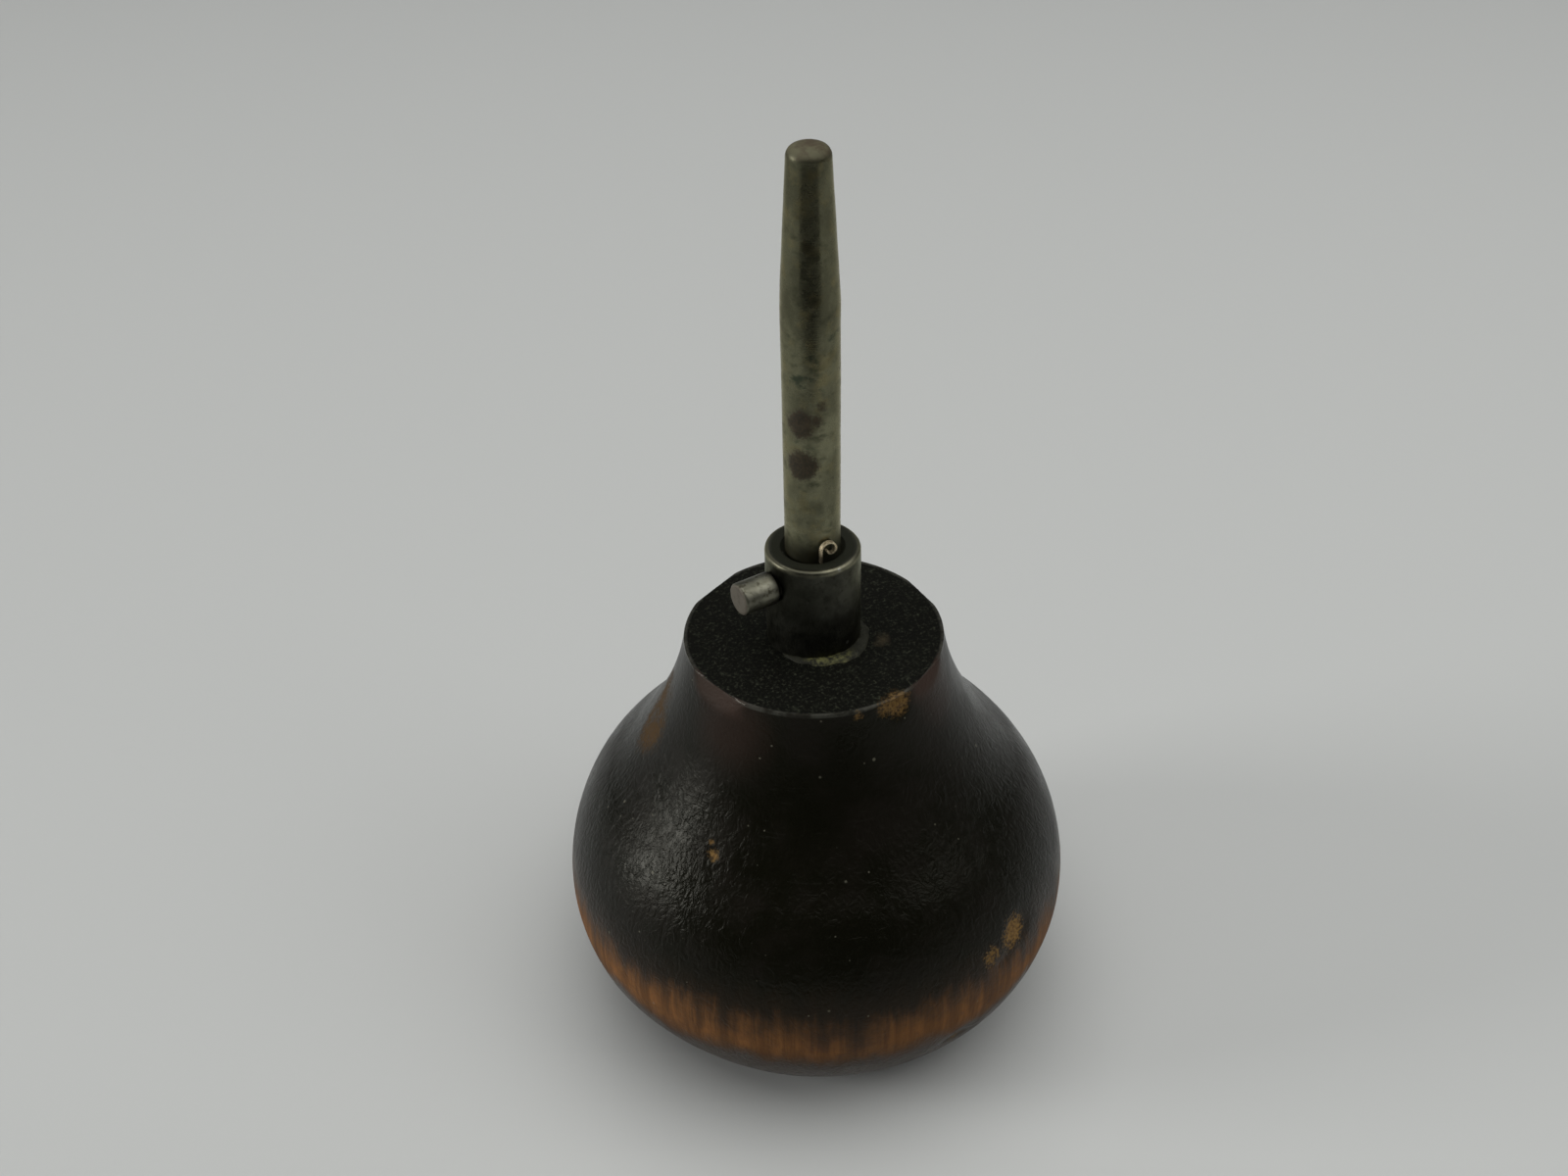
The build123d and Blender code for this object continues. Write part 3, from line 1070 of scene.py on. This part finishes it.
def room_light(settings):
    """A plain room: dim behind the viewer, brighter round the sides and at the back."""
    world = bpy.data.worlds.new("room")
    world.use_nodes = True
    tree = world.node_tree
    background = tree.nodes["Background"]
    direction = tree.nodes.new("ShaderNodeTexCoord").outputs["Generated"]
    along = tree.nodes.new("ShaderNodeVectorMath")
    along.operation = "DOT_PRODUCT"
    along.inputs[1].default_value = around(0, 1, 0)
    tree.links.new(direction, along.inputs[0])
    ease = tree.nodes.new("ShaderNodeMapRange")
    ease.interpolation_type = "SMOOTHSTEP"
    tree.links.new(along.outputs["Value"], ease.inputs["Value"])
    limits = {"From Min": -0.25, "From Max": 0.55, "To Min": settings.room, "To Max": settings.room_front}
    for socket, value in limits.items():
        ease.inputs[socket].default_value = value
    background.inputs["Color"].default_value = (0.94, 0.97, 1.0, 1.0)
    tree.links.new(ease.outputs[0], background.inputs["Strength"])
    return world


def shade_card(settings):
    """A dark card lying in front of the tool that only reflections see: painted shade in the reflections,
    standing in for the shade on the table in front.
    """
    bm = bmesh.new()
    bmesh.ops.create_circle(bm, cap_ends=True, segments=48, radius=1.0)
    bmesh.ops.scale(bm, verts=bm.verts, vec=(CARD_HALF_WIDTH, CARD_HALF_DEPTH, 1))
    bmesh.ops.translate(bm, verts=bm.verts, vec=(0, -CARD_IN_FRONT, 1.0 * MM))
    turned = Matrix.Rotation(radians(FRONT + 90), 3, "Z")
    bmesh.ops.rotate(bm, verts=bm.verts, cent=(0, 0, 0), matrix=turned)
    card = new_piece("shade_card", bm)
    shade_finish = Finish("reflected_shade_card")
    shade_finish.set(Base_Color=settings.card, Roughness=0.9, Specular_IOR_Level=0.1)
    card.data.materials.append(shade_finish.material)
    card.visible_camera = False
    card.visible_diffuse = False
    card.visible_shadow = False
    card.visible_transmission = False


class PUSHTOOL_OT_stage(Operator):
    """Set up the floor, the soft lights and the camera"""

    bl_idname = "push_tool.stage"
    bl_label = "Stage"

    def execute(self, context):
        settings = context.scene.push_tool_stage
        scene = context.scene
        scene.view_settings.view_transform = "Standard"
        scene.view_settings.look = "None"

        bm = bmesh.new()
        bmesh.ops.create_circle(bm, cap_ends=True, segments=96, radius=FLOOR_RADIUS)
        floor = new_piece("floor", bm)
        paper = Finish("floor_paper")
        paper.set(Base_Color=settings.floor, Roughness=0.75, Specular_IOR_Level=0.2)
        floor.data.materials.append(paper.material)

        scene.world = room_light(settings)
        middle = Vector((0, 0, 30 * MM))
        for name, turn, elevation, distance, size, power in (
            ("ceiling", 60, 88, 0.75, 0.90, settings.ceiling),
            ("window_left", -84, 16, 1.60, 0.50, settings.window),
            ("side_right", 72, 42, 0.80, 0.50, settings.side),
        ):
            place = seen_from_front(turn, elevation, distance, middle)
            softbox(name, place, middle, size, power)
        shade_card(settings)

        target = UP * (FLAT_TOP + AIM_ABOVE_FLAT) - around(90, AIM_LEFT, 0)
        away, rise = settings.distance * cos(settings.pitch), settings.distance * sin(settings.pitch)
        eye = target + around(0, away, rise)
        lens = bpy.data.cameras.new("camera")
        lens.lens = LENS
        lens.sensor_width = SENSOR
        lens.clip_start = 0.005
        camera = bpy.data.objects.new("camera", lens)
        camera.location = eye
        scene.collection.objects.link(camera)
        aim(camera, target, CAMERA_ROLL)
        scene.camera = camera
        return {"FINISHED"}


# ---------------------------------------------------------------------------
# Panel and registration
# ---------------------------------------------------------------------------


class PUSHTOOL_PT_panel(Panel):
    """The push tool's pieces and settings"""

    bl_idname = "PUSHTOOL_PT_panel"
    bl_label = "Push Tool"
    bl_space_type = "VIEW_3D"
    bl_region_type = "UI"
    bl_category = "Push Tool"

    def draw(self, context):
        layout = self.layout
        for operator in OPERATORS:
            layout.operator(operator.bl_idname)
        for name in SETTINGS:
            box = layout.box()
            group = getattr(context.scene, name)
            for key in group.bl_rna.properties.keys():
                if key not in {"rna_type", "name"}:
                    box.prop(group, key)


SETTINGS = {
    "push_tool_handle": HandleSettings,
    "push_tool_steel": SteelSettings,
    "push_tool_stage": StageSettings,
}
OPERATORS = (
    PUSHTOOL_OT_stage,
    PUSHTOOL_OT_handle,
    PUSHTOOL_OT_collar,
    PUSHTOOL_OT_rod,
    PUSHTOOL_OT_screw,
    PUSHTOOL_OT_glue,
    PUSHTOOL_OT_curl,
)


def register():
    for cls in (*SETTINGS.values(), *OPERATORS, PUSHTOOL_PT_panel):
        bpy.utils.register_class(cls)
    for name, group in SETTINGS.items():
        setattr(bpy.types.Scene, name, PointerProperty(type=group))


def unregister():
    for name in SETTINGS:
        delattr(bpy.types.Scene, name)
    for cls in reversed((*SETTINGS.values(), *OPERATORS, PUSHTOOL_PT_panel)):
        bpy.utils.unregister_class(cls)


def main():
    register()
    bpy.ops.push_tool.stage()
    bpy.ops.push_tool.handle()
    bpy.ops.push_tool.collar()
    bpy.ops.push_tool.rod()
    bpy.ops.push_tool.screw()
    bpy.ops.push_tool.glue()
    bpy.ops.push_tool.curl()


if __name__ == "__main__":
    main()
